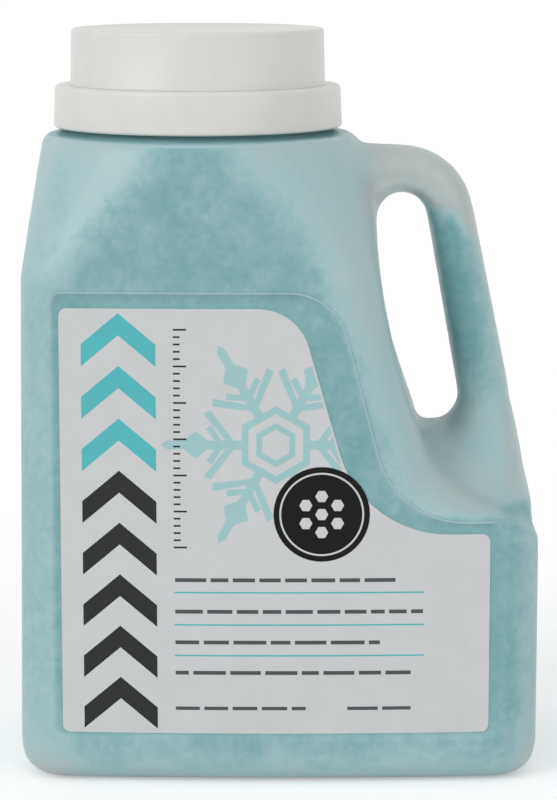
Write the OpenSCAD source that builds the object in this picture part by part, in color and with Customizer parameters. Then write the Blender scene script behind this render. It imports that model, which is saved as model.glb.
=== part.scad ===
// Handheld salt spreader: a blow-moulded shaker jug of ice-melt crystals.
// The jug has a hollow through-handle, a label panel sunk into its front and back, and a wide neck.
// A sifter collar screws onto the neck, and an overcap screws onto the collar's spigot.
// Origin: middle of the base, at the height of the surface it stands on. +Z up, -Y front, +X handle.

/* [Jug] */
// Width over the handle side and the far side
jug_w = 202.4; // [196:0.2:212]
// Depth of the body at the middle of its front and back
jug_d = 124; // [116:1:134]
// Height of the shoulder's flat top
shoulder_z = 248.5; // [242:0.5:258]
// Thickness of the blown wall
wall = 1.6; // [1.2:0.1:2.2]
// Plan radius of the body's upright corners
corner_r = 18; // [14:1:22]
// How far the front and back bow out between the corners
face_bow = 4.5; // [2:0.5:7]
// How far each side draws in from the base to the taper
side_draft = 2.2; // [0.5:0.1:4]
// Height over which the body tapers to the round shoulder
taper_h = 52; // [40:1:60]
// Radius of the round shoulder
shoulder_r = 61; // [60:0.5:63]
// Radius of the edge round the shoulder
shoulder_edge_r = 3; // [2:0.5:6]
// Radius of the edge round the base
base_edge_r = 12; // [8:1:15]
// Height that the base is pushed up inside its standing rim
push_up_h = 3; // [1:0.5:5]
// Width of the flat rim that the jug stands on
rim_w = 7; // [5:0.5:12]
// Width of the slope from that rim up to the pushed-up middle
push_up_slope = 7; // [4:0.5:12]

/* [Handle] */
// Height of the top of the handle
handle_z = 243.5; // [240:0.5:250]
// Width of the grip at its top, seen from the front
grip_w = 18.4; // [17:0.2:21]
// How much wider the grip is at its foot
grip_widen = 2; // [0:0.5:3]
// Depth of the grip, front to back
grip_d = 35; // [28:1:42]
// Angle by which the finger hole's outer side leans from the vertical
grip_lean = 10.2; // [8:0.2:13]
// Radius of the finger hole's round upper end
hole_r = 10.2; // [9:0.1:12]
// Place of the upper end's centre, across
hole_top_x = 48.6; // [46:0.2:50]
// Height of the finger hole's flat bottom
hole_z = 133.3; // [128:0.1:138]
// Radius between the hole's bottom and the grip
hole_low_r = 9; // [5:0.5:10]
// How far the hole's body side bends outwards on its way down
hole_bend = 17.5; // [14:0.5:19]
// Distance below the upper end's centre at which that bend starts
hole_bend_low = 8; // [4:0.5:14]
// Distance below the ledge at which the right side starts to curve in
knee_drop = 13; // [8:1:18]

/* [Panel] */
// Depth of the label panel below the skin
panel_deep = 1; // [0.6:0.1:1.4]
// Left edge of the panel
panel_left = -86.3; // [-88:0.1:-84]
// Right edge of the panel, below the handle
panel_right = 87; // [84:0.1:88]
// Height of the panel's bottom edge
panel_z = 19; // [16:0.5:24]
// Height of the panel's top edge
panel_top_z = 191.6; // [186:0.2:196]
// Height of the ledge under the handle, where the panel steps in
ledge_z = 103; // [96:0.5:108]
// Place across where the panel's leaning edge would meet its top edge
panel_lean_x = 21.1; // [18:0.1:24]
// Angle by which the panel's leaning edge leans from the vertical
panel_lean = 14.6; // [12:0.2:17]
// Radius of the convex turn at the panel's top
panel_turn_r = 22; // [16:1:28]
// Radius of the hollow turn onto the ledge
panel_hollow_r = 36; // [28:1:40]
// Flat land between the panel's leaning edge and the body's round corner
panel_land = 1.2; // [0.6:0.1:2]
// Radius of the panel's small corners
panel_corner_r = 4; // [2:0.5:6]

/* [Label] */
// Thickness of the label film
label_t = 0.25; // [0.15:0.05:0.4]
// Gap between the label and the panel's floor
label_gap = 0.05; // [0.02:0.01:0.1]
// Gap between the label and the panel's straight edges
label_margin = 2.9; // [2:0.1:5]
// Gap between the two leaning edges, measured across
label_lean_margin = 13; // [8:0.5:16]
// Gap between the label and the ledge, and at its top and bottom edges
label_z_margin = 4.6; // [3:0.1:6]
// Radius of the label's convex turn
label_turn_r = 15; // [10:1:20]
// Radius of the label's hollow turn
label_hollow_r = 32.5; // [26:0.5:38]
// Radius of the label's small corners
label_corner_r = 3; // [1:0.5:5]

/* [Closure] */
// Place of the neck's axis, across
neck_x = -31.7; // [-36:0.1:-28]
// Outer radius of the neck, without its thread
neck_r = 51; // [49:0.2:52]
// Thickness of the neck's wall
neck_wall = 2.4; // [1.8:0.1:3]
// Outer radius of the sifter collar at its lower rim
collar_r = 56.7; // [56:0.1:58.5]
// Height of the sifter collar's skirt
collar_h = 16.5; // [14:0.5:20]
// How far the collar's skirt draws in towards its top
collar_draft = 0.6; // [0.2:0.1:1]
// Gap under the collar's skirt
collar_gap = 2.3; // [1.5:0.1:4]
// Thickness of the collar's skirt and deck
collar_wall = 2; // [1.6:0.1:2.4]
// Outer radius of the overcap
cap_r = 50; // [49:0.2:52]
// Height of the overcap above the collar
cap_h = 21.9; // [18:0.1:26]
// How far the overcap draws in towards its top
cap_draft = 0.5; // [0.2:0.1:1]
// Thickness of the overcap's wall
cap_wall = 1.8; // [1.4:0.1:2.2]
// Radius of the moulded edges of both caps
cap_edge_r = 1.6; // [0.8:0.1:2]
// Outer radius of the spigot that the overcap screws onto, without its thread
spigot_r = 44.6; // [43:0.1:45.5]
// Thickness of the spigot's wall
spigot_wall = 1.8; // [1.4:0.1:2.4]
// Thickness of the neck gasket
gasket_t = 1.2; // [0.8:0.1:2]
// Thickness of the overcap's liner
liner_t = 1.2; // [0.8:0.1:2]
// Gap between a part and the face that it seals against or rests on
seat_gap = 0.2; // [0.1:0.05:0.3]

/* [Sifter] */
// Thickness of the perforated plate
sifter_t = 1.6; // [1.2:0.1:2.4]
// Depth of the plate's top below the spigot's rim
sifter_deep = 6.5; // [5.5:0.5:8]
// Radius of one shaker hole
shaker_hole_r = 4.2; // [3:0.1:4.6]
// Distance between the rings of shaker holes
shaker_pitch = 12; // [11:0.5:13]
// Number of rings of shaker holes
shaker_rings = 3; // [1:1:3]
// Width of the ledge that carries the plate
sifter_ledge_w = 1.6; // [1:0.1:2.4]
// Radial clearance of the plate in the spigot
sifter_fit = 0.1; // [0.05:0.05:0.3]

/* [Crystals] */
// Height of the crystals under the neck
fill_z = 242; // [225:1:244]
// How much lower the crystals lie at the walls
fill_slope = 10; // [4:1:16]
// Height of the crystals in the handle
fill_grip_z = 222; // [200:1:230]
// Gap between the crystals and the jug's wall
fill_gap = 0.3; // [0.2:0.05:0.5]

/* [Hidden] */
skin = [0.62, 0.75, 0.76];
cap_white = [0.86, 0.86, 0.84];

half_w = jug_w / 2;
half_d = jug_d / 2;
taper_z = shoulder_z - taper_h;

// Fineness of the rings: steps in a corner, across a face, round the grip and round a turned part
corner_steps = 6;
face_steps = 6;
grip_steps = 20;
round_steps = 96;

// Handle: its upper bend turns about the centre of the finger hole's upper end, its lower bend about
// the centre of the hole's lower outer corner. Both half widths are those of the grip.
bend_z = handle_z - grip_w - hole_r;
top_half = grip_w / 2;
foot_half = (grip_w + grip_widen) / 2;
foot_z = hole_z + hole_low_r;
hole_side_x = hole_top_x - hole_r;
hole_foot_x = hole_side_x + hole_bend;
foot_x = hole_top_x + (hole_r - hole_low_r) / cos(grip_lean) + (bend_z - foot_z) * tan(grip_lean);
knee_z = ledge_z - knee_drop;

// Closure heights, from the shoulder up.
collar_z = shoulder_z + collar_gap;
deck_z = collar_z + collar_h;
neck_top_z = deck_z - collar_wall - gasket_t - seat_gap;
top_z = deck_z + cap_h;
spigot_top_z = top_z - cap_wall - liner_t - seat_gap;
sifter_z = spigot_top_z - sifter_deep - sifter_t;

function mix(a, b, t) = a + (b - a) * t;
function unit(t) = min(1, max(0, t));
function ease(t) = t * t * (3 - 2 * t);

// ---- Outlines of the body, as functions of the height ----

// Left edge: a drafted side, then the taper in to the round shoulder.
function left_x(z) =
    z < taper_z ? mix(-half_w, side_draft - half_w, z / taper_z)
                : mix(side_draft - half_w, neck_x - shoulder_r, (z - taper_z) / taper_h);

// Right edge: upright side, a soft slope under the finger hole, the hole's body side, the shoulder.
function slope_x(t) = mix(hole_foot_x, half_w, ease(pow(t, 1.15)));
function hole_x(t) = hole_side_x + hole_bend * pow(unit(t), 1.6);
function right_x(z) =
    z < knee_z ? half_w
    : z < hole_z ? slope_x((hole_z - z) / (hole_z - knee_z))
    : z < bend_z ? hole_x((bend_z - hole_bend_low - z) / (bend_z - hole_bend_low - hole_z))
    : mix(hole_side_x, neck_x + shoulder_r, pow((z - bend_z) / (shoulder_z - bend_z), 2));

// Right edge of the flat front: a land past the panel's leaning edge and its hollow turn.
function lean_x(z) = panel_lean_x + (panel_top_z - z) * tan(panel_lean);
face_ledge_z = ledge_z + panel_land;
hollow_r = panel_hollow_r - panel_land;
hollow_x = lean_x(ledge_z) + panel_hollow_r * tan(45 - panel_lean / 2);
hollow_top_z = face_ledge_z + hollow_r * (1 - sin(panel_lean));
function face_x(z) =
    z < face_ledge_z ? mix(half_w - corner_r, hollow_x, unit((z - face_ledge_z + 4) / 4))
    : z < hollow_top_z ? hollow_x - sqrt(pow(hollow_r, 2) - pow(face_ledge_z + hollow_r - z, 2))
    : z < taper_z ? lean_x(z) + panel_land / cos(panel_lean)
    : mix(lean_x(taper_z) + panel_land / cos(panel_lean), neck_x, (z - taper_z) / taper_h);

// Plan radii of the corners: they grow over the taper until the shoulder is round.
function left_r(z) = z < taper_z ? corner_r : mix(corner_r, shoulder_r, (z - taper_z) / taper_h);
function right_r(z) = right_x(z) - face_x(z);

// Half the depth at the middle, and how far the face bows there.
function depth(z) = mix(half_d, shoulder_r, z / shoulder_z);
function bow(z) = z < taper_z ? face_bow : mix(face_bow, 0, (z - taper_z) / taper_h);

// ---- Rings of points and the shells lofted through them ----

// Half a ring of the body in plan, front side: left corner, face, right corner. e moves it inwards.
// Each corner starts with the slope that the bowed face has there, so the ring is convex.
function front_ring(z, e) = let (
        rl = left_r(z) - e, rr = right_r(z) - e,
        x0 = left_x(z) + e + rl, x1 = right_x(z) - e - rr,
        k = bow(z) / pow(half_w, 2), face = function (x) depth(z) - e - k * x * x,
        tilt0 = atan(-2 * k * x0), tilt1 = atan(2 * k * x1))
    concat(
        [for (i = [corner_steps : -1 : 0]) let (a = mix(tilt0, 90, i / corner_steps))
            [x0 - rl * sin(a), rl / cos(tilt0) - face(x0) - rl * cos(a)]],
        [for (i = [1 : face_steps - 1]) let (x = mix(x0, x1, i / face_steps)) [x, -face(x)]],
        [for (i = [0 : corner_steps]) let (a = mix(tilt1, 90, i / corner_steps))
            [x1 + rr * sin(a), rr / cos(tilt1) - face(x1) - rr * cos(a)]]);

function body_ring(z, e) = let (front = front_ring(z, e), n = len(front))
    concat(front, [for (i = [n - 1 : -1 : 0]) [front[i][0], -front[i][1]]]);

// Heights of the rings between the base's edge and the shoulder's edge.
side_z = concat([knee_z],
    [for (i = [1 : 4]) mix(knee_z, face_ledge_z, i / 4)],
    [for (i = [1 : 8]) mix(face_ledge_z, hole_z, i / 8)],
    [for (i = [1 : 5]) mix(hole_z, taper_z, i / 5)],
    [for (i = [1 : 5]) mix(taper_z, shoulder_z - shoulder_edge_r, i / 5)]);

function lift(ring, z) = [for (p = ring) [p[0], p[1], z]];

// Rings of the body's skin, moved in by e: base edge, sides, shoulder edge.
function body_rings(e) = concat(
    [for (a = [0 : 22.5 : 90]) let (r = base_edge_r - e)
        lift(body_ring(base_edge_r, base_edge_r - r * sin(a)), base_edge_r - r * cos(a))],
    [for (z = side_z) lift(body_ring(z, e), z)],
    [for (a = [22.5 : 22.5 : 90]) let (r = shoulder_edge_r - e, z = shoulder_z - shoulder_edge_r)
        lift(body_ring(z, shoulder_edge_r - r * cos(a)), z + r * sin(a))]);

// One ring round the handle's path, a rounded oval: its centre, the path's turn (0 points to +X and
// 90 down), and its half sizes in the handle's plane and across it.
oval_power = 2.4;
function oval(c) = sign(c) * pow(abs(c), 2 / oval_power);
function grip_ring(x, z, turn, in_plane, across) =
    [for (i = [0 : grip_steps - 1]) let (a = 360 * i / grip_steps, u = in_plane * oval(cos(a)))
        [x + u * sin(turn), across * oval(sin(a)), z + u * cos(turn)]];

// Rings round part of the handle that turns about (x, z) at radius r on its centre line.
function bend_rings(x, z, r, turns, half, e) = [for (a = turns)
    grip_ring(x + r * sin(a), z + r * cos(a), a, half - e, grip_d / 2 + half - top_half - e)];

// The handle is three tubes. The first runs round the finger hole: out of the body over the upper
// bend, down the grip, round the lower bend and back into the body under the hole. e moves each in.
function hole_rings(e) = concat(
    bend_rings(hole_top_x, bend_z, hole_r + top_half, [for (i = [0 : 9]) mix(-75, 90 - grip_lean, i / 9)],
        top_half, e),
    bend_rings(foot_x, foot_z, hole_low_r + foot_half, [for (i = [0 : 5]) mix(90 - grip_lean, 180, i / 5)],
        foot_half, e),
    bend_rings(hole_foot_x - foot_half / 2, foot_z, hole_low_r + foot_half, [180], foot_half, e));

// The second runs from inside the shoulder to the upper bend, deeper and wider at its root.
root_l = 31.4;
root_deepen = 12;
root_widen = 2;
function root_rings(e) = [for (t = [0 : 0.25 : 1])
    grip_ring(mix(hole_top_x - root_l, hole_top_x, t), bend_z + hole_r + top_half, 0,
        top_half - e + root_widen * pow(1 - t, 2), grip_d / 2 - e + root_deepen * (1 - sqrt(t)))];

// The third flares from the foot of the grip into the slope under the hole.
foot_inset = 0.8;
foot_deep = half_d - 20;
function foot_rings(e) = [for (t = [0 : 0.2 : 1]) let (
        x = foot_x + (hole_low_r + foot_half) / cos(grip_lean),
        outer = mix(x + foot_half, half_w - foot_inset, sin(90 * t)) - e,
        inner = mix(x - foot_half, hole_foot_x, unit(2.6 * t - 0.2)) + e)
    grip_ring((outer + inner) / 2, mix(foot_z, knee_z, t), 90, (outer - inner) / 2,
        mix(grip_d / 2 + foot_half - top_half, foot_deep, t) - e)];

// A shell lofted through convex rings, one span at a time.
module loft(rings) {
    for (i = [0 : len(rings) - 2])
        hull()
            polyhedron(concat(rings[i], rings[i + 1]), [[for (k = [0 : 2 * len(rings[i]) - 1]) k]]);
}

// A tube swept through rings that all have the same number of points.
module tube(rings) {
    n = len(rings[0]);
    last = n * (len(rings) - 1);
    polyhedron(
        [for (ring = rings, p = ring) p],
        concat(
            [[for (k = [n - 1 : -1 : 0]) k]],
            [for (i = [0 : n : last - n], k = [0 : n - 1]) let (m = (k + 1) % n)
                each [[i + k, i + m, i + n + k], [i + m, i + n + m, i + n + k]]],
            [[for (k = [0 : n - 1]) last + k]]));
}

// The jug's outer form moved in by e, closed at the neck.
module form(e) {
    loft(body_rings(e));
    tube(hole_rings(e));
    tube(root_rings(e));
    tube(foot_rings(e));
}

// ---- Panel and label outlines, in the front plane (x, z) ----

// A polygon with rounded corners. Each corner is [x, z, radius].
function round_outline(corners) = let (n = len(corners)) [for (i = [0 : n - 1]) each let (
        c = corners[i], p = [c[0], c[1]],
        before = corners[(i + n - 1) % n], after = corners[(i + 1) % n],
        q = [before[0], before[1]] - p, s = [after[0], after[1]] - p,
        u = q / norm(q), v = s / norm(s), half = acos(u * v) / 2,
        centre = p + (u + v) / norm(u + v) * c[2] / sin(half),
        a = p + u * c[2] / tan(half) - centre,
        turn = cross(u, v) > 0 ? -1 : 1, steps = c[2] > corner_r / 2 ? 10 : 4)
    [for (k = [0 : steps]) let (t = turn * (180 - 2 * half) * k / steps)
        centre + [a[0] * cos(t) - a[1] * sin(t), a[0] * sin(t) + a[1] * cos(t)]]];

panel_outline = round_outline([
    [panel_left, panel_z, panel_corner_r], [panel_right, panel_z, panel_corner_r],
    [panel_right, ledge_z, panel_corner_r], [lean_x(ledge_z), ledge_z, panel_hollow_r],
    [panel_lean_x, panel_top_z, panel_turn_r], [panel_left, panel_top_z, panel_corner_r]]);

label_left = panel_left + label_margin;
label_right = panel_right - 2 * label_margin;
label_z = panel_z + label_margin;
label_top_z = panel_top_z - label_z_margin;
label_ledge_z = ledge_z - label_z_margin;
label_outline = round_outline([
    [label_left, label_z, label_corner_r], [label_right, label_z, label_corner_r],
    [label_right, label_ledge_z, label_corner_r],
    [lean_x(label_ledge_z) - label_lean_margin, label_ledge_z, label_hollow_r],
    [lean_x(label_top_z) - label_lean_margin, label_top_z, label_turn_r],
    [label_left, label_top_z, label_corner_r]]);

// An outline in the front plane pushed through the front (side 1) or the back (side -1).
module through(outline, side) {
    translate([0, side > 0 ? -half_d / 2 : 2 * half_d, 0])
        rotate([90, 0, 0])
            linear_extrude(1.5 * half_d)
                polygon(outline);
}

// The jug's form with both label panels sunk into it, moved in by e.
module sunk_form(e) {
    difference() {
        form(e);
        difference() {
            for (side = [1, -1])
                through(panel_outline, side);
            loft(body_rings(e + panel_deep));
        }
    }
}

// The hollow under the base, grown by e: a shallow dish inside the standing rim.
module base_push_up(e) {
    rim = base_edge_r + rim_w;
    hull() {
        translate([0, 0, -push_up_h])
            linear_extrude(push_up_h)
                polygon(body_ring(base_edge_r, rim - e));
        linear_extrude(push_up_h + e)
            polygon(body_ring(base_edge_r, rim + push_up_slope - e));
    }
}

// ---- Parts ----

module jug_body() {
    color(skin)
        difference() {
            union() {
                sunk_form(0);
                translate([neck_x, 0, shoulder_z - wall])
                    cylinder(h = neck_top_z - shoulder_z + wall, r = neck_r, $fn = round_steps);
            }
            difference() {
                sunk_form(wall);
                base_push_up(wall);
            }
            translate([neck_x, 0, shoulder_z - 2 * wall])
                cylinder(h = 2 * wall + collar_h, r = neck_r - neck_wall, $fn = round_steps);
            base_push_up(0);
        }
}

module crystal_fill() {
    e = wall + fill_gap;
    color([0.50, 0.74, 0.76])
        difference() {
            intersection() {
                sunk_form(e);
                union() {
                    translate([neck_x, 0, 0])
                        cylinder(h = fill_z - fill_slope, r = jug_w, $fn = 48);
                    translate([neck_x, 0, fill_z - fill_slope])
                        cylinder(h = fill_slope, r1 = half_w, r2 = half_w / 3, $fn = 48);
                }
            }
            translate([hole_top_x - hole_r, -half_d, fill_grip_z])
                cube([half_w, jug_d, fill_z]);
            base_push_up(e);
        }
}

module front_label() {
    color([0.86, 0.87, 0.87])
        intersection() {
            through(label_outline, 1);
            difference() {
                loft(body_rings(panel_deep - label_gap - label_t));
                loft(body_rings(panel_deep - label_gap));
            }
        }
}

// A ring round the neck's axis, from its section [radius, height].
module round_part(section) {
    translate([neck_x, 0, 0])
        rotate_extrude($fn = round_steps)
            polygon(section);
}

module neck_gasket() {
    color([0.92, 0.92, 0.90])
        round_part([for (p = [[-neck_wall, 0], [0, 0], [0, 1], [-neck_wall, 1]])
            [neck_r + p[0], neck_top_z + seat_gap + p[1] * (gasket_t - seat_gap)]]);
}

// A convex quarter round about [r, z], from angle a0 to a0 + 90.
function edge(r, z, radius, a0) =
    [for (a = [a0 : 22.5 : a0 + 90]) [r + radius * cos(a), z + radius * sin(a)]];

module sifter_collar() {
    top_r = collar_r - collar_draft;
    bore = spigot_r - spigot_wall;
    plate_z = sifter_z - seat_gap;
    color(cap_white)
        round_part(concat(
            // Inside of the skirt, from the deck down to the lower rim
            [[top_r - collar_wall, deck_z - collar_wall], [collar_r - collar_wall, collar_z]],
            // Lower rim, skirt and deck
            edge(collar_r - cap_edge_r, collar_z + cap_edge_r, cap_edge_r, -90),
            edge(top_r - cap_edge_r, deck_z - cap_edge_r, cap_edge_r, 0),
            // Spigot, with the ledge that carries the plate
            [[spigot_r, deck_z], [spigot_r, spigot_top_z], [bore, spigot_top_z],
             [bore, plate_z], [bore - sifter_ledge_w, plate_z],
             [bore - sifter_ledge_w, plate_z - sifter_ledge_w], [bore, plate_z - 2 * sifter_ledge_w],
             [bore, deck_z - collar_wall]]));
}

// Holes in one ring of the plate: one in the middle, then six more in each ring than in the last.
function ring_holes(ring) = max(1, 6 * ring);

module sifter_plate() {
    color(cap_white)
        difference() {
            translate([neck_x, 0, sifter_z])
                cylinder(h = sifter_t, r = spigot_r - spigot_wall - sifter_fit, $fn = round_steps);
            for (ring = [0 : shaker_rings], k = [0 : ring_holes(ring) - 1])
                translate([neck_x, 0, sifter_z - sifter_t])
                    rotate(360 * k / ring_holes(ring))
                        translate([ring * shaker_pitch, 0, 0])
                            cylinder(h = 3 * sifter_t, r = shaker_hole_r, $fn = 24);
        }
}

module overcap() {
    top_r = cap_r - cap_draft;
    foot_z = deck_z + seat_gap;
    color(cap_white)
        round_part(concat(
            [[0, top_z - cap_wall], [top_r - cap_wall, top_z - cap_wall], [cap_r - cap_wall, foot_z],
             [cap_r, foot_z]],
            edge(top_r - cap_edge_r, top_z - cap_edge_r, cap_edge_r, 0),
            [[0, top_z]]));
}

module overcap_liner() {
    color([0.80, 0.82, 0.82])
        translate([neck_x, 0, spigot_top_z + seat_gap])
            cylinder(h = liner_t - seat_gap, r = cap_r - cap_draft - cap_wall - seat_gap, $fn = round_steps);
}

jug_body();
crystal_fill();
front_label();
neck_gasket();
sifter_collar();
sifter_plate();
overcap();
overcap_liner();
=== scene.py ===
import math
import random

import bmesh
import bpy
from mathutils import Matrix, Vector, noise


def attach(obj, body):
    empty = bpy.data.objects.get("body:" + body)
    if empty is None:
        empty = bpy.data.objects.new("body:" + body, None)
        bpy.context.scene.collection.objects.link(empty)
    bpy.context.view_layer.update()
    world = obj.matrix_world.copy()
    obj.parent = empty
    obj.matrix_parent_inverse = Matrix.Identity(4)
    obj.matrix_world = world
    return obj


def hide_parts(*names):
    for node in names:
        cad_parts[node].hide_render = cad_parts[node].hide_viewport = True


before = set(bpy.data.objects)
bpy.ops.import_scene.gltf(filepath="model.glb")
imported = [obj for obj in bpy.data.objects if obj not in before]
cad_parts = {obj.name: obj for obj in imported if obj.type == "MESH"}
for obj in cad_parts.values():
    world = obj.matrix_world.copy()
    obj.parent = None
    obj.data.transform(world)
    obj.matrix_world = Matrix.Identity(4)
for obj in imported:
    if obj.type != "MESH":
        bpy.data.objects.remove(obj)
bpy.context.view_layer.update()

# The CAD frame: the jug's base at z 0, its label towards -Y, its handle at +X. Numbers are in metres, but the
# turned sections and the label's shapes are in millimetres.
neckAxis = Vector((-0.0317, 0, 0))
shoulderTop = 0.2485
sameLevel = 1e-5
sharpAngle = 60
rng = random.Random(4)


# ---- small helpers ----

def linearColour(hexCode):
    channels = [int(hexCode[i:i + 2], 16) / 255 for i in (1, 3, 5)]
    return tuple(c / 12.92 if c <= 0.04045 else ((c + 0.055) / 1.055) ** 2.4 for c in channels) + (1,)


def feed(material, node, inputs):
    # each input takes a plain value, or the output that feeds it
    for name, value in inputs.items():
        if isinstance(value, bpy.types.NodeSocket):
            material.node_tree.links.new(value, node.inputs[name])
        else:
            node.inputs[name].default_value = value


def addNode(material, kind, inputs=None, **settings):
    # one node with its settings and its inputs
    node = material.node_tree.nodes.new(kind)
    for name, value in settings.items():
        setattr(node, name, value)
    feed(material, node, inputs or {})
    return node


def newMaterial(name):
    material = bpy.data.materials.new(name)
    material.use_nodes = True
    return material, material.node_tree.nodes["Principled BSDF"]


def objectPlace(material):
    return addNode(material, "ShaderNodeTexCoord").outputs["Object"]


def noisy(material, place, scale, detail=2, roughness=0.5, distortion=0):
    # the greys of a noise, with its scale in waves to the metre
    return addNode(material, "ShaderNodeTexNoise", {
        "Vector": place, "Scale": scale, "Detail": detail, "Roughness": roughness,
        "Distortion": distortion}).outputs["Fac"]


def ranged(material, value, source, target=(0, 1), **settings):
    # a value, taken from one range to another
    return addNode(material, "ShaderNodeMapRange", {
        "Value": value, "From Min": source[0], "From Max": source[1],
        "To Min": target[0], "To Max": target[1]}, **settings).outputs[0]


def computed(material, operation, first, second=0, **settings):
    return addNode(material, "ShaderNodeMath", {0: first, 1: second}, operation=operation, **settings).outputs[0]


def twoTone(material, value, dark, light, span=(0, 1)):
    # from a dark colour to a light one, while the value goes through its span
    ramp = addNode(material, "ShaderNodeValToRGB", {"Fac": value})
    for end, position, colour in zip(ramp.color_ramp.elements, span, (dark, light)):
        end.position = position
        end.color = colour
    return ramp.outputs["Color"]


def bumped(material, height, depth, under=None):
    # a normal roughened by a height; the depth is a strength and a distance in metres
    inputs = {"Height": height, "Strength": depth[0], "Distance": depth[1]}
    if under is not None:
        inputs["Normal"] = under
    return addNode(material, "ShaderNodeBump", inputs).outputs["Normal"]


def smoothStep(low, high, value):
    t = min(1, max(0, (value - low) / (high - low)))
    return t * t * (3 - 2 * t)


def within(span, value):
    return span[0] < value < span[1]


def finishPiece(name, bm, body, materials, stands=(), smooth=40):
    # bmesh to a finished object that rides on its body
    mesh = bpy.data.meshes.new(name)
    bm.to_mesh(mesh)
    bm.free()
    piece = bpy.data.objects.new(name, mesh)
    bpy.context.scene.collection.objects.link(piece)
    for material in materials:
        mesh.materials.append(material)
    for polygon in mesh.polygons:
        polygon.use_smooth = True
    if smooth:
        mesh.set_sharp_from_angle(angle=math.radians(smooth))
    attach(piece, body)
    if stands:
        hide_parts(*stands)
    return piece


def nodeCopy(name):
    # a CAD node's mesh is loose triangles, so its copy is merged first
    bm = bmesh.new()
    bm.from_mesh(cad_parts[name].data)
    bmesh.ops.remove_doubles(bm, verts=bm.verts, dist=1e-6)
    return bm


def lathe(section, steps=128, closed=True):
    # a section of (radius, height) points in millimetres, spun round the neck's axis
    bm = bmesh.new()
    ring = [bm.verts.new((neckAxis.x + r / 1000, 0, z / 1000)) for r, z in section]
    pairs = list(zip(ring, ring[1:] + ring[:1])) if closed else list(zip(ring, ring[1:]))
    edges = [bm.edges.new(pair) for pair in pairs]
    bmesh.ops.spin(bm, geom=ring + edges, cent=neckAxis, axis=(0, 0, 1), angle=math.tau,
                   steps=steps, use_merge=True)
    bmesh.ops.remove_doubles(bm, verts=bm.verts, dist=2e-6)
    bmesh.ops.recalc_face_normals(bm, faces=bm.faces)
    return bm


def arc(r, z, radius, start, end, steps=5):
    # points of a rounded edge in a section
    return [(r + radius * math.cos(math.radians(start + (end - start) * i / steps)),
             z + radius * math.sin(math.radians(start + (end - start) * i / steps)))
            for i in range(steps + 1)]


threadSteps = 96


def addThread(bm, settings):
    # a trapezium swept up a helix round the neck's axis
    half, crest = settings["foot"] / 2, settings["crest"] / 2
    root, tip = settings["root"], settings["tip"]
    turn = Matrix.Rotation(math.radians(settings["start"]), 4, "Z")
    ring = [bm.verts.new(neckAxis + turn @ Vector((r / 1000, 0, (settings["z"] + z) / 1000)))
            for r, z in [(root, -half), (tip, -crest), (tip, crest), (root, half)]]
    steps = int(settings["turns"] * threadSteps)
    bmesh.ops.spin(bm, geom=[bm.faces.new(ring)], cent=neckAxis, axis=(0, 0, 1), steps=steps,
                   angle=math.tau * settings["turns"],
                   dvec=(0, 0, settings["lead"] / 1000 * settings["turns"] / steps))


# ---- camera ----

cameraSettings = {"place": (0, -1.160, 0.33535), "pitch": 80.5, "sensor": 36, "lens": 132.31}

cameraData = bpy.data.cameras.new("photoCamera")
cameraData.sensor_width = cameraSettings["sensor"]
cameraData.lens = cameraSettings["lens"]
camera = bpy.data.objects.new("photoCamera", cameraData)
camera.location = cameraSettings["place"]
camera.rotation_euler = (math.radians(cameraSettings["pitch"]), 0, 0)
bpy.context.scene.collection.objects.link(camera)
bpy.context.scene.camera = camera
print("camera placed")


# ---- materials ----

noiseSpan = (0.3, 0.7)  # where nearly all greys of a noise lie


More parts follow.
